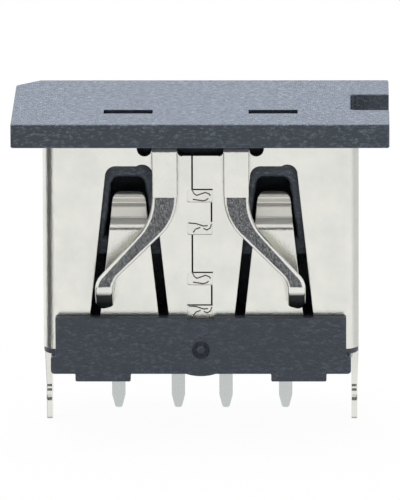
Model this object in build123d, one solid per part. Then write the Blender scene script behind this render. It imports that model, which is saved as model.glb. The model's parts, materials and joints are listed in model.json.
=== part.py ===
from build123d import *
import os

# Upright board socket for a flat four-contact plug, with its dust cap pushed in.
# Millimetres. Z = 0 is the face of the circuit board and the origin is under the middle of
# the shield. -Y is the side with the folded seam, +X is to the right seen from there.

# Shield, folded from one sheet
sheet = 0.30
shield_width = 13.12
shield_depth = 5.72
shield_corner = 0.75
shield_foot_z = 1.26
shield_rim_z = 10.12
bend_inside = 0.15

# Windows in the wide walls, with a contact spring in each
front_shift = 0.035
window_centre = 3.005
window_top_drop = 1.06
window_top_width = 1.87
window_taper = 0.109
window_corner = 0.42
window_tuck = 0.36
punch_step = 0.07
punch_step_width = 0.82
punch_step_offset = 0.56
punch_step_corner = 0.40
spring_slit = 0.41
spring_bend_drop = 3.70
spring_knee_drop = 3.345
spring_waist_drop = 2.87
spring_apex_drop = 2.65
spring_tip_drop = 2.29
spring_knee_reach = 0.34
spring_waist_reach = 0.36
spring_reach = 0.42
spring_flare = 0.225
spring_bend_inside = 0.10
spring_tip_corner = 0.34
spring_tip_round = 0.16

# Grounding arms, folded down over the rim
arm_centre = 1.485
arm_width = 1.05
arm_fold_gap = 0.10
arm_fold_flat = 0.02
arm_rest_gap = 0.08
arm_bend_drop = 2.33
arm_flare = 1.20
arm_elbow_drop = 3.19
arm_knee_drop = 5.625
arm_crest_drop = 6.00
arm_tip_return = 1.25
arm_tip_drop = 0.94
arm_end_slant = 0.16
arm_end_corner = 0.32
arm_tip_centre = 3.985
arm_tip_width = 0.74
arm_sweep_radius = 2.00
arm_knee_radius = 0.80
arm_crest_inside = 0.15
relief_drop = 0.61
relief_width = 0.61
relief_corner = 0.22

# Seam in the front wall, with interlocking tabs and staked pads
seam_gap = 0.07
seam_left = -0.38
seam_right = 0.42
seam_step_drops = (2.04, 3.42, 5.57, 6.96)
pad_left = -0.60
pad_right = 0.47
pad_height = 0.54
pad_corner = 0.10
pad_depth = 0.045
crease_width = 0.055
crease_depth = 0.10
odd_creases = (
    ((0.0, 0.04), (0.10, 0.34), (0.23, 0.47), (0.45, 0.36), (0.68, 0.24), (0.88, 0.36), (0.94, 0.50)),
    ((0.03, 0.78), (0.30, 0.84), (0.55, 0.90), (0.72, 0.84), (0.84, 0.70)),
)
even_creases = (
    ((-0.20, 0.09), (0.20, 0.14), (0.57, 0.33), (0.80, 0.30)),
    ((0.58, 0.52), (0.76, 0.64), (0.93, 0.48), (1.0, 0.16)),
    ((0.05, 0.84), (0.16, 0.58), (0.42, 0.44)),
)

# Board locks, one below each narrow wall
lock_width = 1.32
lock_root_radius = 0.45
lock_length = 2.31
lock_thinning = 0.06
lock_thinning_z = 0.75
lock_step_drops = (0.765, 0.945)
lock_step_height = 0.10
lock_step = 0.032
lock_notch_drop = 1.18
lock_notch_height = 0.17
lock_notch_depth = 0.20
lock_lead_height = 0.15
lock_lead = 0.045
lock_edge_radius = 0.03
lock_tip_width = 1.00
lock_tip_corner = 0.12

# Catch between each narrow wall and the housing
catch_width = 1.10
catch_foot_z = 1.75
catch_height = 0.60
catch_reach = 0.20
catch_clearance = 0.06

# Moulded housing
fit = 0.02
lip_reach = 0.50
lip_top_z = 2.73
lip_inset = 0.52
lip_notch_width = 1.10
lip_notch_depth = 0.12
flange_top_z = 1.06
flange_foot_z = 0.325
flange_corner = 0.15
stand_foot_z = 1.04
stand_gap = 0.10
floor_z = 2.50
foot_width = 2.30
foot_centre = 4.07
foot_depth = 1.25
foot_corner = 0.07
gate_radius = 0.36
gate_depth = 0.12
gate_z = 1.355
gate_nub_radius = 0.24
gate_nub_top = 0.17
gate_nub_height = 0.09
bulge_width = 1.25
bulge_drop = 0.10

# Tongue that carries the contacts
tongue_side_gap = 0.72
tongue_back_gap = 0.66
tongue_thickness = 1.84
tongue_setback = 1.00
tongue_corner = 0.30
groove_top_margin = 0.52
tail_relief_width = 1.50
tail_relief_length = 0.90
tail_relief_depth = 0.22

# Contacts
contact_thickness = 0.30
contact_width = 1.00
contact_side_gap = 0.05
contact_front_gap = 0.03
contact_sink = 0.05
outer_pitch = 7.00
inner_pitch = 2.00
bow_foot_drop = 4.50
bow_crest_drop = 2.20
bow_reach = 0.45
bow_inside = 0.35
bow_end_drop = 1.62
bow_end_taper = 0.12
tail_width = 0.56
tail_length = 1.97
tail_corner = 0.12
tail_taper = 0.54
tail_tip_width = 0.28
tail_shoulder_corner = 0.35
tail_shoulder_z = 0.60
barb_z = 1.30
barb_height = 0.25

# Dust cap
plate_overhang = 1.26
plate_front_overhang = 1.30
plate_back_overhang = 1.68
plate_thickness = 1.00
plate_corner = 0.12
plate_edge = 0.04
plate_chamfer = 1.00
plate_notch_depth = 1.60
plate_notch_width = 3.00
plate_notch_corner = 0.20
insert_gap = 0.10
insert_length = 4.86
insert_corner = 0.40
insert_cheek = 0.50
insert_contact_gap = 0.35
cheek_back_gap = 0.35
pocket_clearance = 0.07
pocket_front = 0.86
pocket_back = 1.57
pocket_top_drop = 1.62
pocket_foot_drop = 4.10
pocket_edge = 0.22
slot_width = 2.03


def across_y(sketch, y_low, y_high):
    """A sketch drawn with X to the right and Z up, given a length along Y."""
    plane = Plane(origin=(0, y_high, 0), x_dir=(1, 0, 0), z_dir=(0, -1, 0))
    return extrude(plane * sketch, y_high - y_low)


def across_x(sketch, x_low, x_high):
    """A sketch drawn with Y to the right and Z up, given a length along X."""
    plane = Plane(origin=(x_low, 0, 0), x_dir=(0, 1, 0), z_dir=(1, 0, 0))
    return extrude(plane * sketch, x_high - x_low)


def upright(sketch, z_low, z_high):
    """A sketch drawn in plan, given a height."""
    return extrude(Plane.XY.offset(z_low) * sketch, z_high - z_low)


def block(x_range, y_range, z_range):
    """A plain block between two limits along each axis."""
    size = [high - low for low, high in (x_range, y_range, z_range)]
    centre = [(high + low) / 2 for low, high in (x_range, y_range, z_range)]
    return Pos(*centre) * Box(*size)


def outline(points, radii):
    """A closed outline with one corner radius for each point."""
    return make_face(FilletPolyline(*points, radius=radii, close=True))


def shifted(points, distance):
    """The points of a path moved to its left by a distance, with mitred corners."""
    places = [Vector(*point) for point in points]
    ways = [(b - a).normalized() for a, b in zip(places, places[1:])]
    sides = [Vector(-way.Y, way.X) for way in ways]
    moved = [places[0] + sides[0] * distance]
    for place, before, after in zip(places[1:], sides, sides[1:]):
        moved.append(place + (before + after) * (distance / (1 + before.dot(after))))
    moved.append(places[-1] + sides[-1] * distance)
    return moved


def bent_sheet(points, inside_radii, thickness):
    """Side view of a bent strip: its middle line, and the inside radius of each bend."""
    places = [Vector(*point) for point in points]
    left_radii = []
    right_radii = []
    for before, corner, after, inside in zip(places, places[1:], places[2:], inside_radii):
        turns_left = (corner - before).cross(after - corner).Z > 0
        left_radii.append(inside if turns_left else inside + thickness)
        right_radii.append(inside + thickness if turns_left else inside)
    left = FilletPolyline(*shifted(points, thickness / 2), radius=left_radii)
    right = FilletPolyline(*shifted(points, -thickness / 2), radius=right_radii)
    ends = [Line(left @ 0, right @ 0), Line(left @ 1, right @ 1)]
    return make_face([*left.edges(), *right.edges(), *ends])


def both_ways(half_points):
    """A right-hand run of points closed by its mirror image in the vertical axis."""
    return list(half_points) + [(-across, up) for across, up in reversed(half_points)]


# Places that several pieces share
front_y = -shield_depth / 2
side_x = shield_width / 2
inner_front_y = front_y + sheet
inner_back_y = -inner_front_y
inner_x = side_x - sheet
inner_corner = shield_corner - sheet
lip_y = front_y - lip_reach
window_top_z = shield_rim_z - window_top_drop
window_foot_z = lip_top_z - window_tuck
spring_apex_z = shield_rim_z - spring_apex_drop
relief_z = shield_rim_z - relief_drop
fold_radius = (sheet + arm_fold_gap) / 2
fold_inside = (arm_fold_gap - arm_fold_flat) / 2
neck_z = shield_rim_z - arm_rest_gap - fold_radius - sheet / 2
tongue_back_y = inner_back_y - tongue_back_gap
tongue_front_y = tongue_back_y - tongue_thickness
tongue_tip_z = shield_rim_z - tongue_setback
groove_y = tongue_front_y + contact_sink + contact_thickness
strip_y = groove_y - contact_thickness / 2
insert_front_y = inner_front_y + insert_gap
channel_half = contact_width / 2 + contact_side_gap
contact_places = {
    "contact_outer_left": -outer_pitch / 2,
    "contact_inner_left": -inner_pitch / 2,
    "contact_inner_right": inner_pitch / 2,
    "contact_outer_right": outer_pitch / 2,
}


def window_half(z, slit=0.0):
    """Half the width of a window at a height, less a slit along its edge."""
    return window_top_width / 2 + (window_top_z - z) * window_taper - slit


def window_cutter():
    """One front window: a tapered opening with a second punch mark at its top right."""
    top = window_top_z
    foot = window_foot_z
    corners = both_ways([(window_half(top), top), (window_half(foot), foot)])
    opening = outline(corners, [window_corner, 0, 0, window_corner])
    mark = Pos(punch_step_offset, top + punch_step - window_corner)
    second_punch = mark * RectangleRounded(punch_step_width, 2 * window_corner, punch_step_corner)
    return across_y(opening + second_punch, front_y - sheet, inner_front_y + sheet)


def contact_spring():
    """One front spring: kicked inward in three bends, with its tip flared out and rolled over."""
    middle_y = front_y + sheet / 2
    root_z = window_foot_z - sheet
    tip_z = shield_rim_z - spring_tip_drop
    flare = Vector(-spring_flare, tip_z - spring_apex_z)
    side_view = bent_sheet(
        [
            (middle_y, root_z),
            (middle_y, shield_rim_z - spring_bend_drop),
            (middle_y + spring_knee_reach, shield_rim_z - spring_knee_drop),
            (middle_y + spring_waist_reach, shield_rim_z - spring_waist_drop),
            (middle_y + spring_reach, spring_apex_z),
            (middle_y + spring_reach - spring_flare, tip_z),
        ],
        [bend_inside, spring_bend_inside, spring_bend_inside, spring_bend_inside],
        sheet,
    )
    front_corner = side_view.vertices().sort_by(Axis.Y)[-2]
    side_view = fillet(front_corner, spring_tip_round)
    top_z = tip_z + sheet / 2 * spring_flare / flare.length
    top_half = window_half(top_z, spring_slit)
    root_half = window_half(root_z, spring_slit)
    front_view = outline(
        both_ways([(top_half, top_z), (root_half, root_z)]),
        [spring_tip_corner, 0, 0, spring_tip_corner],
    )
    blade = across_x(side_view, -root_half, root_half)
    return blade & across_y(front_view, front_y - sheet, inner_front_y + 2 * spring_reach)


def grounding_arm():
    """One front arm on the +X side: a fold over the rim, a swept flare and a curled tip."""
    inner_line = front_y + sheet / 2
    outer_line = inner_line - 2 * fold_radius
    crest_y = outer_line - arm_flare
    crest_z = shield_rim_z - arm_crest_drop
    end_z = crest_z - arm_tip_drop
    side_view = bent_sheet(
        [
            (inner_line, neck_z - relief_drop),
            (inner_line, neck_z + fold_radius),
            (outer_line, neck_z + fold_radius),
            (outer_line, shield_rim_z - arm_bend_drop),
            (crest_y, crest_z),
            (crest_y + arm_tip_return, end_z),
        ],
        [fold_inside, fold_inside, bend_inside, arm_crest_inside],
        sheet,
    )
    top_z = shield_rim_z + sheet
    elbow_z = shield_rim_z - arm_elbow_drop
    knee_z = shield_rim_z - arm_knee_drop
    inside = arm_centre - arm_width / 2
    outside = arm_centre + arm_width / 2
    tip_inside = arm_tip_centre - arm_tip_width / 2
    tip_outside = arm_tip_centre + arm_tip_width / 2
    foot_z = end_z - sheet / 2
    front_view = outline(
        [
            (inside, top_z),
            (inside, elbow_z),
            (tip_inside, knee_z),
            (tip_inside, foot_z + arm_end_slant),
            (tip_outside, foot_z),
            (tip_outside, knee_z),
            (outside, elbow_z),
            (outside, top_z),
        ],
        [
            0,
            arm_sweep_radius,
            arm_knee_radius,
            0,
            arm_end_corner,
            arm_knee_radius,
            arm_sweep_radius,
            0,
        ],
    )
    strip = across_x(side_view, inside, tip_outside)
    return strip & across_y(front_view, crest_y - sheet, front_y + 2 * sheet)


def rim_reliefs():
    """Cuts in the front rim: one between the arms, and one round-ended slot outside each arm."""
    arm_inside = arm_centre - arm_width / 2
    arm_outside = arm_centre + arm_width / 2
    above = shield_rim_z + sheet
    between = outline(
        both_ways([(arm_inside, above), (arm_inside, relief_z)]),
        [0, relief_corner, relief_corner, 0],
    )
    centre_x = arm_outside + relief_width / 2
    slot = Pos(centre_x, relief_z + relief_width / 2) * Circle(relief_width / 2)
    slot += Pos(centre_x, (relief_z + relief_width / 2 + above) / 2) * Rectangle(
        relief_width, above - relief_z - relief_width / 2
    )
    neck_top = Pos(arm_centre, (neck_z + above) / 2) * Rectangle(arm_width, above - neck_z)
    cuts = between + slot + mirror(slot, Plane.YZ) + neck_top + mirror(neck_top, Plane.YZ)
    return across_y(cuts, front_y - sheet, inner_front_y + sheet)


def ribbon(points, width):
    """A path given a width, with square ends."""
    return make_face(Polyline(*shifted(points, width / 2), *shifted(points, -width / 2)[::-1], close=True))


def seam_slit(points):
    """One open stretch of the seam, cut along a path through the front wall."""
    return across_y(ribbon(points, seam_gap), front_y - sheet, inner_front_y + sheet)


def staked_pad(top_z):
    """One pad pressed into the front wall to lock a corner of the seam."""
    middle = Pos((pad_left + pad_right) / 2, top_z - pad_height / 2)
    face = middle * RectangleRounded(pad_right - pad_left, pad_height, pad_corner)
    return across_y(face, front_y - sheet, front_y + pad_depth)


def closed_crease(points):
    """A pinched stretch of the seam inside a pad, left as a fine wavy line."""
    return across_y(ribbon(points, crease_width), front_y - sheet, front_y + pad_depth + crease_depth)


def seam_cutters():
    """Everything that the seam takes out of the front wall."""
    first, second, third, fourth = (shield_rim_z - drop for drop in seam_step_drops)
    foot = shield_foot_z - sheet
    slits = [
        [(seam_left, shield_rim_z + sheet), (seam_left, first), (pad_right, first)],
        [(seam_right, first - pad_height), (seam_right, second)],
        [(seam_left, second - pad_height), (seam_left, third), (pad_right, third)],
        [(seam_right, third - pad_height), (seam_right, fourth), (pad_left, fourth)],
        [(seam_left, fourth - pad_height), (seam_left, foot)],
    ]
    span = seam_right - seam_left
    cutters = [seam_slit(points) for points in slits]
    for top, waves in zip((first, second, third, fourth), 2 * (odd_creases, even_creases)):
        cutters.append(staked_pad(top))
        for wave in waves:
            crease = [(seam_left + across * span, top - down * pad_height) for across, down in wave]
            cutters.append(closed_crease(crease))
    return cutters


def board_lock():
    """The leg below the +X wall: a wide root, two steps, a notch and a thinned, rounded tip."""
    half = lock_width / 2
    root = half + lock_root_radius + sheet
    right = [(root, shield_foot_z + sheet), (root, shield_foot_z), (half, shield_foot_z)]
    for drop in lock_step_drops:
        right.append((half, -drop))
        half += lock_step
        right.append((half, -drop - lock_step_height))
    right.append((half, -lock_notch_drop))
    notch_foot = lock_notch_drop + lock_notch_height
    right.append((half - lock_notch_depth, -notch_foot))
    right.append((half - lock_notch_depth + lock_lead, -notch_foot - lock_lead_height))
    right.append((lock_tip_width / 2, -lock_length))
    edges = [lock_edge_radius] * (len(right) - 4)
    radii = [0, 0, lock_root_radius, *edges, lock_tip_corner]
    face = outline(both_ways(right), radii + radii[::-1])
    thinned_x = side_x - lock_thinning
    front_view = make_face(Polyline(
        (inner_x, shield_foot_z + sheet),
        (side_x, shield_foot_z + sheet),
        (side_x, lock_thinning_z),
        (thinned_x, -lock_step_drops[0]),
        (thinned_x, -lock_length),
        (inner_x, -lock_length),
        close=True,
    ))
    return across_x(face, inner_x, side_x) & across_y(front_view, -root, root)


def catch_window():
    """The opening in the +X wall that the housing's catch snaps into."""
    half = catch_width / 2 + catch_clearance
    z_range = (catch_foot_z - catch_clearance, catch_foot_z + catch_height + catch_clearance)
    return block((inner_x - sheet, side_x + sheet), (-half, half), z_range)


def shield():
    """The folded metal shell with its springs, arms, seam and board locks."""
    outer = RectangleRounded(shield_width, shield_depth, shield_corner)
    inner = RectangleRounded(2 * inner_x, 2 * inner_back_y, inner_corner)
    shell = upright(outer - inner, shield_foot_z, shield_rim_z)
    left = Pos(front_shift - window_centre, 0, 0)
    right = Pos(front_shift + window_centre, 0, 0)
    front_cuts = [left * window_cutter(), right * window_cutter(), rim_reliefs()]
    back_cuts = [mirror(cut, Plane.XZ) for cut in front_cuts]
    side_cuts = [catch_window(), mirror(catch_window(), Plane.YZ)]
    seam_cuts = [Pos(front_shift, 0, 0) * cut for cut in seam_cutters()]
    for cutter in front_cuts + back_cuts + side_cuts + seam_cuts:
        shell -= cutter
    arm = grounding_arm()
    front_forms = [left * contact_spring(), right * contact_spring(), arm, mirror(arm, Plane.YZ)]
    back_forms = [mirror(form, Plane.XZ) for form in front_forms]
    for form in front_forms + back_forms + [board_lock(), mirror(board_lock(), Plane.YZ)]:
        shell += form
    return shell


def housing_body():
    """The block inside the shield with its flange, and the lips in front of and behind it."""
    lip_half = side_x - lip_inset
    flange_half = inner_x - fit
    shoulder_corner = min(flange_corner, (flange_half - lip_half) / 2)
    side_profile = outline(
        both_ways([
            (lip_half, lip_top_z),
            (lip_half, flange_top_z),
            (flange_half, flange_top_z),
            (flange_half, flange_foot_z),
        ]),
        [0, 0, shoulder_corner, flange_corner, flange_corner, shoulder_corner, 0, 0],
    )
    body = across_y(side_profile, lip_y, -lip_y)
    body += upright(
        RectangleRounded(2 * flange_half, 2 * (inner_back_y - fit), inner_corner - fit),
        flange_top_z - flange_corner,
        lip_top_z,
    )
    channel = RectangleRounded(shield_width + 2 * fit, shield_depth + 2 * fit, shield_corner + fit)
    channel -= RectangleRounded(2 * flange_half, 2 * (inner_back_y - fit), inner_corner - fit)
    body -= upright(channel, shield_foot_z, lip_top_z + sheet)
    cavity = (-inner_x, inner_x), (-inner_back_y, inner_back_y), (floor_z, lip_top_z + sheet)
    body -= block(*cavity)
    notch_half = lip_notch_width / 2
    notch_z = (lip_top_z - lip_notch_depth, lip_top_z + sheet)
    body -= block((-notch_half, notch_half), (lip_y - sheet, front_y + fit), notch_z)
    return body


def shield_stand():
    """The ledge that the shield's foot rests on, left open around the board locks."""
    plan = RectangleRounded(shield_width - 2 * fit, shield_depth - 2 * fit, shield_corner - fit)
    room = lock_width / 2 + lock_root_radius + stand_gap
    gap = Rectangle(2 * shield_width, 2 * room)
    core = Rectangle(2 * (inner_x - 2 * fit), shield_depth)
    return upright(plan - gap + (plan & core), stand_foot_z, shield_foot_z)


def gate_mark():
    """The round sink where the moulding was filled, with its broken nub, on the front lip."""
    centre = Pos(0, gate_z)
    sink = across_y(centre * Circle(gate_radius), lip_y - sheet, lip_y + gate_depth)
    nub_foot = Pos(0, lip_y + gate_depth, gate_z) * Rot(90, 0, 0)
    nub = nub_foot * Cone(gate_nub_radius, gate_nub_top, gate_nub_height,
                          align=(Align.CENTER, Align.CENTER, Align.MIN))
    return sink, nub


def lower_bulge():
    """The shallow swelling of the flange's lower edge under the gate mark."""
    half = bulge_width / 2
    arc = ThreePointArc((-half, flange_foot_z), (0, flange_foot_z - bulge_drop), (half, flange_foot_z))
    lower = make_face([*arc.edges(), Line((half, flange_foot_z), (-half, flange_foot_z))])
    return across_y(lower, lip_y, lip_y + foot_depth)


def feet():
    """Four standoff feet that the socket stands on."""
    profile = outline(
        [
            (foot_centre - foot_width / 2, flange_foot_z + flange_corner),
            (foot_centre - foot_width / 2, 0),
            (foot_centre + foot_width / 2, 0),
            (foot_centre + foot_width / 2, flange_foot_z + flange_corner),
        ],
        [0, foot_corner, foot_corner, 0],
    )
    front_right = across_y(profile, lip_y, lip_y + foot_depth)
    front = [front_right, mirror(front_right, Plane.YZ)]
    return front + [mirror(foot, Plane.XZ) for foot in front]


def catch():
    """The wedge on the +X side of the housing that holds the shield down."""
    root_x = inner_x - fit
    top_z = catch_foot_z + catch_height
    profile = make_face(Polyline(
        (root_x - sheet, catch_foot_z),
        (root_x + catch_reach, catch_foot_z),
        (root_x + catch_reach, catch_foot_z + catch_height / 4),
        (root_x, top_z),
        (root_x - sheet, top_z),
        close=True,
    ))
    return across_y(profile, -catch_width / 2, catch_width / 2)


def tongue():
    """The blade that the contacts lie in, rounded at its free end."""
    half = inner_x - tongue_side_gap
    middle_y = (tongue_front_y + tongue_back_y) / 2
    front_view = outline(
        both_ways([(half, floor_z - sheet), (half, tongue_tip_z)][::-1]),
        [tongue_corner, 0, 0, tongue_corner],
    )
    side_view = outline(
        [
            (tongue_front_y, floor_z - sheet),
            (tongue_back_y, floor_z - sheet),
            (tongue_back_y, tongue_tip_z),
            (tongue_front_y, tongue_tip_z),
        ],
        [0, 0, tongue_corner, tongue_corner],
    )
    reach = tongue_thickness
    return across_y(front_view, middle_y - reach, middle_y + reach) & across_x(side_view, -half, half)


def contact_channels():
    """For each contact, a channel down through the base, a groove up the tongue and a relief."""
    cuts = []
    for place in contact_places.values():
        x_range = (place - channel_half, place + channel_half)
        channel_y = (groove_y - contact_thickness - contact_front_gap, groove_y)
        cuts.append(block(x_range, channel_y, (-sheet, floor_z + sheet)))
        groove_range = (tongue_front_y - sheet, groove_y)
        cuts.append(block(x_range, groove_range, (floor_z, tongue_tip_z - groove_top_margin)))
        relief_x = (place - tail_relief_width / 2, place + tail_relief_width / 2)
        relief_y = (strip_y - tail_relief_length / 2, strip_y + tail_relief_length / 2)
        cuts.append(block(relief_x, relief_y, (-sheet, flange_foot_z + tail_relief_depth)))
    return cuts


def insulator():
    """The moulded housing: body, lips, feet, catches and tongue in one piece."""
    sink, nub = gate_mark()
    body = housing_body() - sink
    forms = [shield_stand(), nub, lower_bulge(), catch(), mirror(catch(), Plane.YZ), tongue()]
    for form in forms + feet():
        body += form
    for cut in contact_channels():
        body -= cut
    return body


def contact():
    """One contact: a bowed strip in the tongue, a barbed stem in the base and a pointed tail."""
    end_z = shield_rim_z - bow_end_drop
    side_view = bent_sheet(
        [
            (strip_y, -tail_length),
            (strip_y, shield_rim_z - bow_foot_drop),
            (strip_y - bow_reach, shield_rim_z - bow_crest_drop),
            (strip_y - contact_sink, end_z),
        ],
        [bow_inside, bow_inside],
        contact_thickness,
    )
    half = contact_width / 2
    right = [
        (tail_tip_width / 2, -tail_length),
        (tail_width / 2, tail_taper - tail_length),
        (tail_width / 2, tail_shoulder_z),
        (half, tail_shoulder_z + half - tail_width / 2),
        (half, barb_z - barb_height),
        (channel_half, barb_z),
        (half, barb_z),
        (half, end_z - 3 * bow_end_taper),
        (half - bow_end_taper, end_z + contact_thickness),
    ]
    radii = [tail_corner, tail_shoulder_corner] + [0] * (len(right) - 2)
    front_view = outline(both_ways(right), radii + radii[::-1])
    strip = across_x(side_view, -channel_half, channel_half)
    reach = bow_reach + contact_thickness
    return strip & across_y(front_view, strip_y - reach, strip_y + reach)


def cap_plate():
    """The flat plate over the rim: one cut-off corner, a side notch and two moulding slots."""
    half_x = side_x + plate_overhang
    front = front_y - plate_front_overhang
    back = plate_back_overhang - front_y
    chamfered = outline(
        [
            (-half_x, front),
            (half_x, front),
            (half_x, back),
            (plate_chamfer - half_x, back),
            (-half_x, back - plate_chamfer),
        ],
        plate_corner,
    )
    notch = Pos(half_x, (front + back) / 2) * RectangleRounded(
        2 * plate_notch_depth, plate_notch_width, plate_notch_corner
    )
    plate = upright(chamfered - notch, shield_rim_z, shield_rim_z + plate_thickness)
    rims = plate.faces().sort_by(Axis.Z)
    return chamfer(rims[0].edges() + rims[-1].edges(), plate_edge)


def cap_insert():
    """The U-shaped plug under the plate: a thick front wall and a cheek at each end."""
    half_x = inner_x - insert_gap
    back = inner_back_y - cheek_back_gap
    wall_back = strip_y - bow_reach - contact_thickness / 2 - insert_contact_gap
    plan = Pos(0, (insert_front_y + back) / 2) * RectangleRounded(
        2 * half_x, back - insert_front_y, insert_corner
    )
    room_back = back + sheet
    room = Pos(0, (wall_back + room_back) / 2) * Rectangle(
        2 * (half_x - insert_cheek), room_back - wall_back
    )
    return upright(plan - room, shield_rim_z - insert_length, shield_rim_z + plate_thickness / 2)


def spring_pocket():
    """Room for one spring's apex in the insert, and the moulding slot that opens into it."""
    top_z = shield_rim_z - pocket_top_drop
    foot_z = shield_rim_z - pocket_foot_drop
    clear = pocket_clearance - spring_slit
    top_half = window_half(top_z) + clear
    foot_half = window_half(foot_z) + clear
    shape = outline(
        both_ways([(top_half, top_z), (foot_half, foot_z)]),
        [spring_tip_corner, 0, 0, spring_tip_corner],
    )
    pocket = across_y(shape, front_y, front_y + pocket_back)
    slot = block(
        (-slot_width / 2, slot_width / 2),
        (front_y + pocket_front, front_y + pocket_back),
        (top_z - sheet, shield_rim_z + 2 * plate_thickness),
    )
    return pocket + slot


def cap():
    """The dust cap: plate and insert in one moulding, with rounded mouths on its pockets."""
    body = cap_plate() + cap_insert()
    places = (-window_centre, window_centre)
    for place in places:
        body -= Pos(place, 0, 0) * spring_pocket()
    mouths = []
    for edge in body.edges().filter_by_position(Axis.Y, insert_front_y - fit, insert_front_y + fit):
        off_centre = min(abs(edge.center().X - place) for place in places)
        if off_centre < window_centre / 2 and edge.center().Z < shield_rim_z - pocket_top_drop / 2:
            if edge.center().Z > shield_rim_z - (pocket_foot_drop + insert_length) / 2:
                mouths.append(edge)
    return fillet(mouths, pocket_edge)


def main():
    """Write each piece to its own file."""
    os.makedirs("parts", exist_ok=True)
    export_step(shield(), "parts/shield.step")
    export_step(insulator(), "parts/insulator.step")
    export_step(cap(), "parts/cap.step")
    strip = contact()
    for name, place in contact_places.items():
        export_step(Pos(place, 0, 0) * strip, f"parts/{name}.step")


main()
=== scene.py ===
import json
import logging
import math
from dataclasses import dataclass, field
from enum import Enum
from typing import Any, Dict, List, Optional, Sequence, Tuple, Union

import bmesh
import bpy
import numpy as np
from mathutils import Matrix, Vector

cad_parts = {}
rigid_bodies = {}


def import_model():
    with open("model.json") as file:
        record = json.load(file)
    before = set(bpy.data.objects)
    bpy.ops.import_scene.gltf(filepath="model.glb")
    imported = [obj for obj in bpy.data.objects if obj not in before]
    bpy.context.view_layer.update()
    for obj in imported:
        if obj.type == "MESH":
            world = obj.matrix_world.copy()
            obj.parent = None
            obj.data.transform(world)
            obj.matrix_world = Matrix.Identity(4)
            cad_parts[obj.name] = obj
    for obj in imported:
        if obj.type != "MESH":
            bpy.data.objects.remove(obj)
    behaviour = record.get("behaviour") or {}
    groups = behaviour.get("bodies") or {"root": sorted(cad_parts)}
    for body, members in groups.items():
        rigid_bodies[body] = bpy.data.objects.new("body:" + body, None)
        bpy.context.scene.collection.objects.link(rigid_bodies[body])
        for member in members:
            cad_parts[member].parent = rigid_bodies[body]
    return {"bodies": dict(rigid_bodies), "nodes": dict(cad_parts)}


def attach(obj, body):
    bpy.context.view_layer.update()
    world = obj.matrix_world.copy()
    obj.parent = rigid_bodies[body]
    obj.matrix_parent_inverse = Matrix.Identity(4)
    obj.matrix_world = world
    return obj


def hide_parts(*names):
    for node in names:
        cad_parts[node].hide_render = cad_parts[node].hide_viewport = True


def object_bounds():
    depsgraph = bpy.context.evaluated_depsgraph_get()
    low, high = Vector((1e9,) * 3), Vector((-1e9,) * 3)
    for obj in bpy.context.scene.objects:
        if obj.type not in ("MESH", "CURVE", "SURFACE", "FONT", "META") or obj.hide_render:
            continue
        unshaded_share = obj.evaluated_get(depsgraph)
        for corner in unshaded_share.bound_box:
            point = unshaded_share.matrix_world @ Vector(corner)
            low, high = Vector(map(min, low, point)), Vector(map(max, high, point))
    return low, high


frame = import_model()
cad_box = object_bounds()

LOG = logging.getLogger("board_socket")
MM = 0.001
FAR = 99.0
TINY = 1e-30
BODY = next(iter(frame["bodies"]))

Band = Tuple[float, float]
Triple = Tuple[float, float, float]
Colour = Triple
Socket = bpy.types.NodeSocket
Value = Union[float, Socket]
Shade = Union[Colour, Socket]
Inputs = Dict[Union[str, int], Any]

WHITE: Colour = (1.0, 1.0, 1.0)


class Finish(Enum):
    """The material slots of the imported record."""

    SHIELD = "shield_plate"
    HOUSING = "housing_plastic"
    CAP = "cap_plastic"
    CONTACT = "contact_plate"


class NodeGraph:
    """A node tree with short calls that add and join its nodes."""

    def __init__(self, tree: bpy.types.NodeTree) -> None:
        """Empty the tree.

        Args:
            tree: the node tree of a material or of the world.
        """
        self.tree = tree
        self.tree.nodes.clear()

    def add(self, kind: str, inputs: Optional[Inputs] = None, **settings: Any) -> bpy.types.Node:
        """Add a node.

        Args:
            kind: the node's type name without its ShaderNode prefix.
            inputs: values or output sockets for the named or numbered inputs.
            settings: properties of the node itself.

        Returns:
            The new node.
        """
        node = self.tree.nodes.new("ShaderNode" + kind)
        for key, value in settings.items():
            setattr(node, key, value)
        for key, value in (inputs or {}).items():
            if isinstance(value, Socket):
                self.tree.links.new(value, node.inputs[key])
            else:
                node.inputs[key].default_value = value
        return node

    def math(self, operation: str, *values: Value) -> Socket:
        """Work out one step of arithmetic.

        Args:
            operation: its kind.
            values: the values that it takes, in order.

        Returns:
            The result.
        """
        return self.add("Math", dict(enumerate(values)), operation=operation).outputs[0]

    def product(self, *factors: Value) -> Socket:
        """Multiply two or more values.

        Args:
            factors: the values.

        Returns:
            Their product.
        """
        result = factors[0]
        for factor in factors[1:]:
            result = self.math("MULTIPLY", result, factor)
        return result

    def ranged(self, value: Socket, low: float, high: float, start: float = 0.3,
               end: float = 0.7) -> Socket:
        """Map a value between two limits along a straight line.

        Args:
            value: the value to map.
            low: the result at start.
            high: the result at end.
            start: the input that gives low.
            end: the input that gives high.

        Returns:
            The mapped value.
        """
        node = self.add("MapRange", {"Value": value, "From Min": start, "From Max": end,
                                     "To Min": low, "To Max": high})
        return node.outputs["Result"]

    def rise(self, value: Socket, start: float, end: float) -> Socket:
        """Rise smoothly from 0 at start to 1 at end.

        Args:
            value: the value to follow.
            start: where the rise starts.
            end: where it ends.

        Returns:
            The risen value.
        """
        node = self.add("MapRange", {"Value": value, "From Min": start, "From Max": end},
                        interpolation_type="SMOOTHSTEP")
        return node.outputs["Result"]

    def mix(self, share: Socket, first: Shade, second: Shade) -> Socket:
        """Mix two colours.

        Args:
            share: 0 gives the first colour and 1 the second.
            first: the first colour.
            second: the second colour.

        Returns:
            The mixed colour.
        """
        inputs: Inputs = {0: share}
        for slot, shade in ((6, first), (7, second)):
            inputs[slot] = shade if isinstance(shade, Socket) else (*shade, 1.0)
        return self.add("Mix", inputs, data_type="RGBA").outputs[2]


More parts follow.
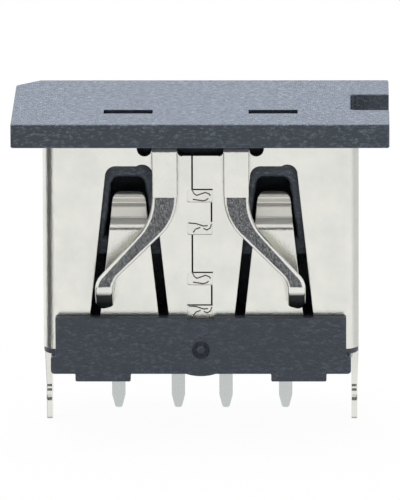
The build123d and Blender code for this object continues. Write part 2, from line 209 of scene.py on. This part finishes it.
class Surface(NodeGraph):
    """A material whose patterns are set out on the object itself."""

    def __init__(self, name: str) -> None:
        """Start an empty material.

        Args:
            name: the material's name.
        """
        self.material = bpy.data.materials.new(name)
        self.material.use_nodes = True
        super().__init__(self.material.node_tree)
        coordinates = self.add("TexCoord")
        self.place = coordinates.outputs["Object"]
        self.facing = coordinates.outputs["Normal"]

    def noise(self, size_mm: float, detail: float = 3.0, rough: float = 0.6,
              stretch: Triple = (1.0, 1.0, 1.0)) -> Socket:
        """Noise whose features are about a given size on the object.

        Args:
            size_mm: the size of one feature.
            detail: octaves of finer noise.
            rough: how strong the finer octaves are.
            stretch: how many times longer a feature is along each axis.

        Returns:
            The noise value, from 0 to 1.
        """
        scale = tuple(1.0 / factor for factor in stretch)
        mapping = self.add("Mapping", {"Vector": self.place, "Scale": scale})
        texture = self.add("TexNoise", {
            "Vector": mapping.outputs["Vector"], "Scale": 1.0 / (size_mm * MM),
            "Detail": detail, "Roughness": rough,
        })
        return texture.outputs["Fac"]

    def open_air(self, reach_mm: float, samples: int = 12) -> Socket:
        """Find how much of the air round a point is open.

        Args:
            reach_mm: how far from the point other faces still close it in.
            samples: how many ways are tried.

        Returns:
            The open share, from 0 to 1.
        """
        node = self.add("AmbientOcclusion", {"Distance": reach_mm * MM}, samples=samples)
        return node.outputs["AO"]

    def bump(self, height: Socket, depth_mm: float, below: Optional[Socket] = None) -> Socket:
        """Turn a height from 0 to 1 into a relief of a real depth.

        Args:
            height: the height.
            depth_mm: what a height of 1 measures.
            below: a relief that this one lies on.

        Returns:
            The bent surface direction.
        """
        inputs: Inputs = {"Height": height, "Distance": depth_mm * MM, "Strength": 1.0}
        if below is not None:
            inputs["Normal"] = below
        return self.add("Bump", inputs).outputs["Normal"]

    def finish(self, inputs: Inputs) -> bpy.types.Material:
        """Close the material with one surface shader.

        Args:
            inputs: values or sockets for the shader's inputs.

        Returns:
            The finished material.
        """
        shader = self.add("BsdfPrincipled", inputs)
        self.add("OutputMaterial", {"Surface": shader.outputs["BSDF"]})
        return self.material


@dataclass(frozen=True)
class MouldedPlastic:
    """Black moulded plastic with glass flakes that lie along the part.

    The peaks of noise stretched along X are the lighter flakes. The relief is the same noise with a
    fine grain on it. Grooves, where little open air is left, get painted shade: their colour is
    darkened and their reflection is weakened. Round the scar of the mould's gate, if there is one,
    crumbs are added to the relief, whose share falls from 1 at half the scar's radius to 0 at the
    whole of it.
    """

    name: str
    dark: Colour = (0.030, 0.038, 0.051)
    light: Colour = (0.105, 0.125, 0.155)
    # the colour of the painted shade in grooves
    painted_groove_shade: Colour = (0.006, 0.007, 0.009)
    sheen: Colour = (0.86, 0.94, 1.0)
    refraction: float = 1.55
    roughness: Band = (0.24, 0.46)
    gloss: Band = (0.12, 0.5)
    mottle_mm: float = 0.10
    mottle_stretch: float = 2.0
    flake_band: Band = (0.52, 0.73)
    polish_band: Band = (0.36, 0.66)
    grain_mm: float = 0.065
    relief_mm: float = 0.018
    swell: float = 1.6
    groove_mm: float = 0.30
    groove_band: Band = (0.12, 0.60)
    scar_mm: Optional[Triple] = None
    scar_radius_mm: float = 0.60
    scar_relief_mm: float = 0.11
    crumb_mm: float = 0.12

    def torn(self, surface: Surface, below: Socket) -> Socket:
        """Tear the surface round the scar.

        Args:
            surface: the material.
            below: the relief of the whole surface.

        Returns:
            The relief with the crumbs of the scar on it.
        """
        centre = tuple(value * MM for value in self.scar_mm)
        away = surface.add("VectorMath", {0: surface.place, 1: centre}, operation="DISTANCE")
        reach = self.scar_radius_mm * MM
        share = surface.ranged(away.outputs["Value"], 1.0, 0.0, 0.5 * reach, reach)
        crumbs = surface.noise(self.crumb_mm, detail=4.0, rough=0.7)
        return surface.bump(surface.product(share, crumbs), self.scar_relief_mm, below)

    def build(self) -> bpy.types.Material:
        """Make the material.

        Returns:
            The material.
        """
        surface = Surface(self.name)
        mottle = surface.noise(self.mottle_mm, detail=4.0, rough=0.62,
                               stretch=(self.mottle_stretch, 1.0, 1.0))
        grain = surface.noise(self.grain_mm)
        air = surface.open_air(self.groove_mm)
        flakes = surface.mix(surface.ranged(mottle, 0.0, 1.0, *self.flake_band),
                             self.dark, self.light)
        unshaded_share = surface.ranged(air, 0.0, 1.0, *self.groove_band)
        relief = surface.bump(mottle, self.relief_mm * self.swell)
        relief = surface.bump(grain, self.relief_mm, relief)
        if self.scar_mm is not None:
            relief = self.torn(surface, relief)
        polished, dull = self.roughness
        return surface.finish({
            # painted shade: where little open air is left the colour goes to the groove shade and the
            # reflection is weakened
            "Base Color": surface.mix(unshaded_share, self.painted_groove_shade, flakes),
            "Specular IOR Level": surface.ranged(air, *self.gloss, *self.groove_band),
            "Roughness": surface.ranged(mottle, dull, polished, *self.polish_band),
            "Normal": relief,
            "IOR": self.refraction,
            "Specular Tint": (*self.sheen, 1.0),
        })


@dataclass(frozen=True)
class PlatedSheet:
    """Satin nickel or tin plate on sheet metal, with the faint draw lines of the strip.

    The lines are noise stretched along Z, and the sparkle is fine even noise. Where little open air
    is left round a point, in a crease or under an edge, the plate gets painted shade. What lies deeper
    than the shield's wall has a dullness and a colour of its own: on the shield that darker colour is
    painted shade on what lies recessed behind the wall, and on the contacts, which lie deeper along
    their whole length, it is their own tin colour. The bent arms in front of the wall carry streaky
    scratches from the tool that shaped them, and on their fronts that look up a little the colour is
    also painted darker, as a painted dark reflection. The undersides of the arms' tips get the same
    painted shade colour, as a painted dark reflection.

    Between the two limits of each of the last seven bands a region fades in or out. The first two
    end one, in |y| and in |x|, the third begins one in |y|, and the fourth ends one in z. The rest
    read the face's direction: |n_x| ends the flat fronts, and n_z begins the fronts that look up a
    little, and the undersides.
    """

    name: str
    light: Colour = (0.82, 0.82, 0.765)
    dark: Colour = (0.74, 0.74, 0.70)
    # painted shade colour for creases, under edges and the undersides of the arms' tips
    painted_shade: Colour = (0.16, 0.165, 0.15)
    # the contacts' own tin colour, and on the shield painted shade for what lies recessed behind the
    # wall
    deep_tone_and_shade: Colour = (0.68, 0.67, 0.62)
    deep_roughness: float = 0.34
    # colours of the arms' scratch streaks, darkened as a painted dark reflection
    arm_scratch_and_shade_light: Colour = (0.60, 0.62, 0.64)
    arm_scratch_and_shade_dark: Colour = (0.14, 0.145, 0.15)
    roughness: Band = (0.16, 0.26)
    cloud_mm: float = 1.3
    line_mm: float = 0.085
    line_stretch: float = 6.0
    line_relief_mm: float = 0.0075
    sparkle_mm: float = 0.055
    sparkle_relief_mm: float = 0.0055
    scratch_mm: float = 0.055
    scratch_stretch: float = 3.2
    scratch_band: Band = (0.36, 0.64)
    scratch_relief_mm: float = 0.009
    painted_shade_reach_mm: float = 0.45
    painted_shade_band: Band = (0.10, 0.62)
    deeper_mm: Band = (2.76, 2.83)
    across_mm: Band = (5.2, 5.5)
    beyond_mm: Band = (2.90, 2.94)
    below_mm: Band = (7.86, 7.91)
    flat_front: Band = (0.05, 0.24)
    raised_front: Band = (0.04, 0.16)
    underside: Band = (-0.35, -0.70)

    def regions(self, surface: Surface) -> Dict[str, Socket]:
        """Find the parts of a sheet that look different, each as a value from 0 to 1.

        Deep is deeper than the wall and not far across. An arm is beyond the wall and below the
        arms' fold, on a flat front that looks up a little, and a tip is there on an underside.

        Args:
            surface: the material.

        Returns:
            The value of each part.
        """
        place = surface.add("SeparateXYZ", {0: surface.place}).outputs
        facing = surface.add("SeparateXYZ", {0: surface.facing}).outputs
        out = surface.math("ABSOLUTE", place["Y"])
        aside = surface.math("ABSOLUTE", place["X"])
        sideways = surface.math("ABSOLUTE", facing["X"])
        deeper = surface.ranged(out, 1.0, 0.0, *(limit * MM for limit in self.deeper_mm))
        middle = surface.ranged(aside, 1.0, 0.0, *(limit * MM for limit in self.across_mm))
        beyond = surface.ranged(out, 0.0, 1.0, *(limit * MM for limit in self.beyond_mm))
        below = surface.ranged(place["Z"], 1.0, 0.0, *(limit * MM for limit in self.below_mm))
        flat = surface.ranged(sideways, 1.0, 0.0, *self.flat_front)
        raised = surface.ranged(facing["Z"], 0.0, 1.0, *self.raised_front)
        under = surface.ranged(facing["Z"], 0.0, 1.0, *self.underside)
        return {
            "deep": surface.product(deeper, middle),
            "arm": surface.product(beyond, below, flat, raised),
            "tip": surface.product(beyond, below, under),
        }

    def build(self) -> bpy.types.Material:
        """Make the material.

        Returns:
            The material.
        """
        surface = Surface(self.name)
        parts = self.regions(surface)
        cloud = surface.noise(self.cloud_mm, rough=0.55)
        lines = surface.noise(self.line_mm, stretch=(1.0, 1.0, self.line_stretch))
        sparkle = surface.noise(self.sparkle_mm, detail=2.0)
        scratches = surface.noise(self.scratch_mm, detail=4.0, rough=0.75,
                                  stretch=(1.0, 1.0, self.scratch_stretch))
        sheet = surface.mix(surface.ranged(cloud, 0.0, 1.0), self.dark, self.light)
        # painted shade on the shield's recessed parts; on the contacts this is their own colour
        sheet = surface.mix(parts["deep"], sheet, self.deep_tone_and_shade)
        # the arms' scratch streaks, painted darker as a dark reflection on the fronts that look up a
        # little
        scored_and_shaded = surface.mix(surface.ranged(scratches, 0.0, 1.0, *self.scratch_band),
                             self.arm_scratch_and_shade_dark, self.arm_scratch_and_shade_light)
        sheet = surface.mix(parts["arm"], sheet, scored_and_shaded)
        # painted shade: where little open air is left, and on the undersides of the arms' tips as a
        # painted dark reflection, the colour goes to the shade colour
        air = surface.open_air(self.painted_shade_reach_mm)
        unshaded_share = surface.product(surface.ranged(air, 0.0, 1.0, *self.painted_shade_band),
                                surface.math("SUBTRACT", 1.0, parts["tip"]))
        relief = surface.bump(surface.product(parts["arm"], scratches), self.scratch_relief_mm)
        relief = surface.bump(lines, self.line_relief_mm, relief)
        relief = surface.bump(sparkle, self.sparkle_relief_mm, relief)
        dull = surface.product(parts["deep"], self.deep_roughness)
        return surface.finish({
            "Base Color": surface.mix(unshaded_share, self.painted_shade, sheet),
            "Metallic": 1.0,
            "Roughness": surface.math("MAXIMUM", surface.ranged(sparkle, *self.roughness), dull),
            "Normal": relief,
        })


def merged_copy(node: str, name: str, merge_mm: float = 0.001,
                flat_degrees: float = 0.5) -> bpy.types.Object:
    """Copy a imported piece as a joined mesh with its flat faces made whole.

    Args:
        node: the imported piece.
        name: the new object's name.
        merge_mm: corners nearer than this become one.
        flat_degrees: faces that turn by less than this are joined.

    Returns:
        The new object.
    """
    work = bmesh.new()
    work.from_mesh(frame["nodes"][node].data)
    bmesh.ops.remove_doubles(work, verts=work.verts, dist=merge_mm * MM)
    bmesh.ops.dissolve_limit(work, angle_limit=math.radians(flat_degrees), verts=work.verts,
                             edges=work.edges, use_dissolve_boundaries=False)
    mesh = bpy.data.meshes.new(name)
    work.to_mesh(mesh)
    work.free()
    piece = bpy.data.objects.new(name, mesh)
    bpy.context.scene.collection.objects.link(piece)
    return piece


@dataclass(frozen=True)
class EdgeZone:
    """The rounding that the sharp edges of one part of a piece get."""

    radius_mm: float
    low_mm: Triple = (-FAR, -FAR, -FAR)
    high_mm: Triple = (FAR, FAR, FAR)

    def holds(self, middles: np.ndarray) -> np.ndarray:
        """Tell which edges lie in the zone.

        Args:
            middles: the middles of the edges in metres, one row each.

        Returns:
            One truth value for each edge.
        """
        low = np.array(self.low_mm) * MM
        high = np.array(self.high_mm) * MM
        return np.all((middles >= low) & (middles <= high), axis=1)


def sharp_edges(mesh: bpy.types.Mesh, least_degrees: float) -> Tuple[np.ndarray, np.ndarray]:
    """Find the edges where a surface turns.

    Args:
        mesh: the mesh.
        least_degrees: the smallest turn that counts.

    Returns:
        The middle of every edge, and whether it is sharp.
    """
    work = bmesh.new()
    work.from_mesh(mesh)
    turns = np.array([edge.calc_face_angle(0.0) for edge in work.edges])
    work.free()
    places = np.empty(3 * len(mesh.vertices))
    mesh.vertices.foreach_get("co", places)
    ends = np.empty(2 * len(mesh.edges), dtype=np.int64)
    mesh.edges.foreach_get("vertices", ends)
    middles = places.reshape(-1, 3)[ends.reshape(-1, 2)].mean(axis=1)
    return middles, turns > math.radians(least_degrees)


def apply_modifiers(piece: bpy.types.Object) -> None:
    """Make a piece's modifiers part of its mesh.

    Args:
        piece: the piece.
    """
    bpy.context.view_layer.update()
    graph = bpy.context.evaluated_depsgraph_get()
    finished = bpy.data.meshes.new_from_object(piece.evaluated_get(graph))
    piece.modifiers.clear()
    piece.data = finished


def steady_normals(mesh: bpy.types.Mesh, cone_degrees: float = 40.0) -> None:
    """Shade flat faces flat and the roundings between them smoothly.

    With A_j and n_j the area and the direction of the faces round a point, and n the direction of
    the face whose corner it is, the corner's direction is the sum of A_j n_j over the faces where
    n_j . n is above the cosine of the cone, made 1 long.

    Args:
        mesh: the mesh, with smooth faces.
        cone_degrees: faces that turn by more than this don't count.
    """
    points = np.empty(len(mesh.loops), dtype=np.int64)
    mesh.loops.foreach_get("vertex_index", points)
    totals = np.empty(len(mesh.polygons), dtype=np.int64)
    mesh.polygons.foreach_get("loop_total", totals)
    directions = np.empty(3 * len(totals))
    mesh.polygons.foreach_get("normal", directions)
    areas = np.empty(len(totals))
    mesh.polygons.foreach_get("area", areas)
    faces = np.repeat(np.arange(len(totals)), totals)
    order = np.argsort(points, kind="stable")
    shared = points[order]
    own = directions.reshape(-1, 3)[faces[order]]
    weights = areas[faces[order]][:, None]
    total = weights * own
    for shift in range(1, int(np.bincount(points).max())):
        same = (shared[shift:] == shared[:-shift])[:, None]
        turn = np.sum(own[shift:] * own[:-shift], axis=1, keepdims=True)
        counts = same & (turn > math.cos(math.radians(cone_degrees)))
        total[:-shift] += np.where(counts, weights[shift:] * own[shift:], 0.0)
        total[shift:] += np.where(counts, weights[:-shift] * own[:-shift], 0.0)
    lengths = np.maximum(np.linalg.norm(total, axis=1, keepdims=True), TINY)
    result = np.empty_like(total)
    result[order] = total / lengths
    mesh.normals_split_custom_set(result.tolist())


def round_edges(piece: bpy.types.Object, zones: Sequence[EdgeZone], segments: int = 3,
                least_degrees: float = 30.0) -> None:
    """Round a piece's sharp edges for good, each zone over the ones before it.

    Args:
        piece: the piece.
        zones: where the edges are rounded, and by how much.
        segments: steps across a rounding.
        least_degrees: edges that turn by less stay as they are.
    """
    middles, sharp = sharp_edges(piece.data, least_degrees)
    radii = np.zeros(len(middles))
    for zone in zones:
        radii[sharp & zone.holds(middles)] = zone.radius_mm
    widest = float(radii.max())
    weights = piece.data.attributes.new("bevel_weight_edge", "FLOAT", "EDGE")
    weights.data.foreach_set("value", (radii / widest).astype(np.float32))
    for polygon in piece.data.polygons:
        polygon.use_smooth = True
    bevel = piece.modifiers.new("rounded_edges", "BEVEL")
    bevel.width = widest * MM
    bevel.segments = segments
    bevel.limit_method = "WEIGHT"
    bevel.use_clamp_overlap = False
    bevel.miter_outer = "MITER_ARC"
    apply_modifiers(piece)
    steady_normals(piece.data)


def dress(piece: bpy.types.Object, material: bpy.types.Material) -> None:
    """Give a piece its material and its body.

    Args:
        piece: the piece.
        material: the material for all its faces.
    """
    piece.data.materials.clear()
    piece.data.materials.append(material)
    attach(piece, BODY)
    LOG.info("%s: %d faces", piece.name, len(piece.data.polygons))


@dataclass
class FoldedShield:
    """The folded metal shell, with its springs, arms and board locks."""

    stamped_mm: float = 0.030
    arm_mm: float = 0.14
    fold_mm: float = 9.68
    beyond_mm: float = 2.88
    seam: Tuple[Triple, Triple] = ((-0.62, -FAR, -FAR), (0.62, -2.55, FAR))
    springs: Tuple[Triple, Triple] = ((-5.0, -2.5, 7.0), (5.0, 2.5, 9.5))
    front_folds: Tuple[Triple, Triple] = ((-2.3, -FAR, 9.68), (2.3, -2.5, FAR))
    back_folds: Tuple[Triple, Triple] = ((-2.3, 2.5, 9.68), (2.3, FAR, FAR))
    segments: int = 5
    plate: PlatedSheet = field(default_factory=lambda: PlatedSheet("nickel_plate"))

    def zones(self) -> List[EdgeZone]:
        """Round the stamped edges a little and the coined arms, which stand beyond the walls, more.

        The seam, the springs and the folds at the rim stay sharp: their bends are too short to
        leave room for a rounding.

        Returns:
            The zones, each over the ones before it.
        """
        sharp = (self.seam, self.springs, self.front_folds, self.back_folds)
        return [
            EdgeZone(self.stamped_mm),
            EdgeZone(self.arm_mm, high_mm=(FAR, -self.beyond_mm, self.fold_mm)),
            EdgeZone(self.arm_mm, low_mm=(-FAR, self.beyond_mm, -FAR),
                     high_mm=(FAR, FAR, self.fold_mm)),
        ] + [EdgeZone(0.0, *box) for box in sharp]

    def build(self) -> None:
        """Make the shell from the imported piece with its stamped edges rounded."""
        shell = merged_copy("shield", "shield_shell")
        round_edges(shell, self.zones(), self.segments)
        dress(shell, self.plate.build())
        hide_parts("shield")


@dataclass
class MouldedHousing:
    """The black body that holds the shield and the contacts."""

    edge_mm: float = 0.04
    plastic: MouldedPlastic = field(default_factory=lambda: MouldedPlastic(
        "housing_black", dark=(0.031, 0.038, 0.052), light=(0.082, 0.098, 0.126), groove_mm=0.17,
        scar_mm=(0.02, -3.36, 1.35)))

    def build(self) -> None:
        """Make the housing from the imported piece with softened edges."""
        body = merged_copy("insulator", "housing_body")
        round_edges(body, [EdgeZone(self.edge_mm)])
        dress(body, self.plastic.build())
        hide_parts("insulator")


@dataclass
class ContactRow:
    """The four stamped contacts, which lie deeper than the shield's wall along their whole length."""

    edge_mm: float = 0.04
    nodes: Sequence[str] = (
        "contact_outer_left", "contact_inner_left", "contact_inner_right", "contact_outer_right",
    )
    plate: PlatedSheet = field(default_factory=lambda: PlatedSheet(
        "tin_plate", deep_tone_and_shade=(0.58, 0.61, 0.605), deep_roughness=0.0, roughness=(0.24, 0.36),
        sparkle_relief_mm=0.0015))

    def build(self) -> None:
        """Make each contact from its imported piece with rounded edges."""
        material = self.plate.build()
        for node in self.nodes:
            strip = merged_copy(node, node + "_strip")
            round_edges(strip, [EdgeZone(self.edge_mm)])
            dress(strip, material)
            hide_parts(node)


@dataclass
class DustCap:
    """The black cap that closes the opening."""

    edge_mm: float = 0.016
    plastic: MouldedPlastic = field(default_factory=lambda: MouldedPlastic(
        "cap_black", dark=(0.033, 0.041, 0.055), light=(0.130, 0.152, 0.185), relief_mm=0.024,
        groove_mm=2.2))

    def build(self) -> None:
        """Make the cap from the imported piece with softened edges."""
        cap = merged_copy("cap", "cap_body")
        round_edges(cap, [EdgeZone(self.edge_mm)])
        dress(cap, self.plastic.build())
        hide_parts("cap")


@dataclass
class Studio:
    """Floor, light and camera.

    A wedge of the floor is its angle from straight ahead, its half width, both in degrees, and the
    share of the glow that it takes away. The patches of the world are bands of a direction's part
    towards the camera or away from it, and of its height.
    """

    elevation: float = 13.25
    azimuth: float = -0.849
    roll: float = -0.198
    distance_mm: float = 400.0
    focal_pixels: float = 9571.0
    aim_mm: Triple = (-0.070, 0.0, 4.836)
    image_width: int = 400
    sensor_mm: float = 36.0
    clip_m: Band = (0.01, 100.0)
    floor_half_mm: float = 3000.0
    floor_gap_mm: float = 0.01
    floor_colour: Colour = (0.62, 0.62, 0.62)
    floor_glow: float = 0.96
    wedge_from_mm: float = 6.3
    wedge_edge: Band = (0.8, 1.2)
    left_wedge: Triple = (76.0, 23.0, 0.90)
    right_wedge: Triple = (120.0, 42.0, 0.28)
    dark_front: float = 0.92
    front_ahead: Band = (0.80, 0.92)
    front_foot: Band = (0.02, 0.09)
    front_top: Band = (0.40, 0.55)
    bright_back: float = 0.72
    back_tint: Colour = (0.83, 0.90, 1.06)
    back_behind: Band = (0.2, 0.8)
    back_top: Band = (0.35, 0.7)
    lamp_place_mm: Triple = (-30.0, 70.0, 260.0)
    lamp_side_mm: float = 180.0
    lamp_watts: float = 0.55

    def camera(self) -> None:
        """Stand the camera where the photograph was taken from.

        It looks along d = (sin a cos e, cos a cos e, -sin e) at the aim point, and is then rolled.
        """
        elevation, azimuth, roll = (math.radians(v) for v in (self.elevation, self.azimuth, self.roll))
        look = Vector((math.sin(azimuth) * math.cos(elevation),
                       math.cos(azimuth) * math.cos(elevation), -math.sin(elevation)))
        right = Vector((math.cos(azimuth), -math.sin(azimuth), 0.0))
        up = right.cross(look)
        rolled_right = math.cos(roll) * right + math.sin(roll) * up
        rolled_up = -math.sin(roll) * right + math.cos(roll) * up
        data = bpy.data.cameras.new("camera")
        data.sensor_fit = "HORIZONTAL"
        data.sensor_width = self.sensor_mm
        data.lens = self.focal_pixels * self.sensor_mm / self.image_width
        data.clip_start, data.clip_end = self.clip_m
        camera = bpy.data.objects.new("camera", data)
        bpy.context.scene.collection.objects.link(camera)
        turn = Matrix((rolled_right, rolled_up, -look)).transposed().to_4x4()
        place = (Vector(self.aim_mm) - self.distance_mm * look) * MM
        camera.matrix_world = Matrix.Translation(place) @ turn
        bpy.context.scene.camera = camera

    def floor_wedges(self, surface: Surface) -> Socket:
        """Darken the floor's glow in a wedge on each side, as the ends of a paper sweep do.

        A point's angle from straight ahead is atan2(|x| - x0, -y), and each wedge takes its share of
        the glow away where that angle is near the wedge's own.

        Args:
            surface: the floor's material.

        Returns:
            The strength of the glow.
        """
        place = surface.add("SeparateXYZ", {0: surface.place}).outputs
        ahead = surface.math("MULTIPLY", place["Y"], -1.0)
        strength: Value = 1.0
        for side, (angle, half, share) in ((-1.0, self.left_wedge), (1.0, self.right_wedge)):
            across = surface.math("MULTIPLY_ADD", place["X"], side, -self.wedge_from_mm * MM)
            turn = surface.math("ARCTAN2", across, ahead)
            away = surface.math("ABSOLUTE", surface.math("SUBTRACT", turn, math.radians(angle)))
            start, end = (part * math.radians(half) for part in self.wedge_edge)
            strength = surface.math("SUBTRACT", strength, surface.ranged(away, share, 0.0, start, end))
        return strength

    def floor(self, height_m: float) -> None:
        """Lay the pale floor, which glows only for the camera and in shiny faces.

        Args:
            height_m: the floor's height.
        """
        half = self.floor_half_mm * MM
        corners = [(-half, -half, height_m), (half, -half, height_m),
                   (half, half, height_m), (-half, half, height_m)]
        mesh = bpy.data.meshes.new("floor")
        mesh.from_pydata(corners, [], [(0, 1, 2, 3)])
        floor = bpy.data.objects.new("floor", mesh)
        bpy.context.scene.collection.objects.link(floor)
        surface = Surface("floor_white")
        path = surface.add("LightPath").outputs
        seen = path["Is Camera Ray"]
        mirrored = surface.math("MAXIMUM", path["Is Glossy Ray"], path["Is Transmission Ray"])
        share = surface.math("MAXIMUM", surface.math("MULTIPLY", seen, self.floor_glow), mirrored)
        strength = surface.math("MAXIMUM", seen, self.floor_wedges(surface))
        diffuse = surface.add("BsdfDiffuse", {"Color": (*self.floor_colour, 1.0)})
        glow = surface.add("Emission", {"Strength": strength})
        both = surface.add("MixShader", {0: share, 1: diffuse.outputs[0], 2: glow.outputs[0]})
        surface.add("OutputMaterial", {"Surface": both.outputs[0]})
        mesh.materials.append(surface.material)

    def world(self) -> None:
        """Surround the part with soft light that is dark in front of it and bright behind it.

        With the direction as (x, y, z) of length 1, the dark patch is where -y / sqrt(x^2 + y^2) is
        near 1 and z is a little above 0, and the bright one, which is tinted, is where that is below
        0 and z isn't high. The camera itself sees plain white.
        """
        world = bpy.data.worlds.new("studio")
        bpy.context.scene.world = world
        world.use_nodes = True
        graph = NodeGraph(world.node_tree)
        coordinates = graph.add("TexCoord")
        across, along, up = graph.add("SeparateXYZ", {0: coordinates.outputs["Generated"]}).outputs
        level = graph.math("SQRT", graph.math("ADD", graph.product(across, across),
                                              graph.product(along, along)))
        ahead = graph.math("DIVIDE", graph.product(along, -1.0), level)
        front = graph.product(graph.rise(ahead, *self.front_ahead), graph.rise(up, *self.front_foot),
                              graph.math("SUBTRACT", 1.0, graph.rise(up, *self.front_top)))
        back = graph.product(graph.rise(graph.product(ahead, -1.0), *self.back_behind),
                             graph.math("SUBTRACT", 1.0, graph.rise(up, *self.back_top)))
        light = graph.math("SUBTRACT", 1.0, graph.product(front, self.dark_front))
        light = graph.math("ADD", light, graph.product(back, self.bright_back))
        seen = graph.add("LightPath").outputs["Is Camera Ray"]
        unseen = graph.math("SUBTRACT", 1.0, seen)
        background = graph.add("Background", {
            "Color": graph.mix(graph.product(back, unseen), WHITE, self.back_tint),
            "Strength": graph.math("ADD", seen, graph.product(light, unseen)),
        })
        graph.add("OutputWorld", {0: background.outputs[0]})

    def lamp(self) -> None:
        """Hang the square soft lamp that faces the part."""
        data = bpy.data.lights.new("top_lamp", "AREA")
        data.size = self.lamp_side_mm * MM
        data.energy = self.lamp_watts
        lamp = bpy.data.objects.new("top_lamp", data)
        bpy.context.scene.collection.objects.link(lamp)
        place = Vector(self.lamp_place_mm) * MM
        aim = (Vector(self.aim_mm) * MM - place).normalized()
        turn = aim.to_track_quat("-Z", "Y").to_matrix().to_4x4()
        lamp.matrix_world = Matrix.Translation(place) @ turn

    def build(self) -> None:
        """Set the stage."""
        bpy.context.scene.view_settings.view_transform = "Standard"
        self.camera()
        self.floor(float(cad_box[0][2]) - self.floor_gap_mm * MM)
        self.world()
        self.lamp()
        LOG.info("stage set")


def main() -> None:
    """Build the socket and its stage."""
    logging.basicConfig(level=logging.INFO, format="%(name)s: %(message)s")
    FoldedShield().build()
    MouldedHousing().build()
    ContactRow().build()
    DustCap().build()
    Studio().build()


if __name__ == "__main__":
    main()
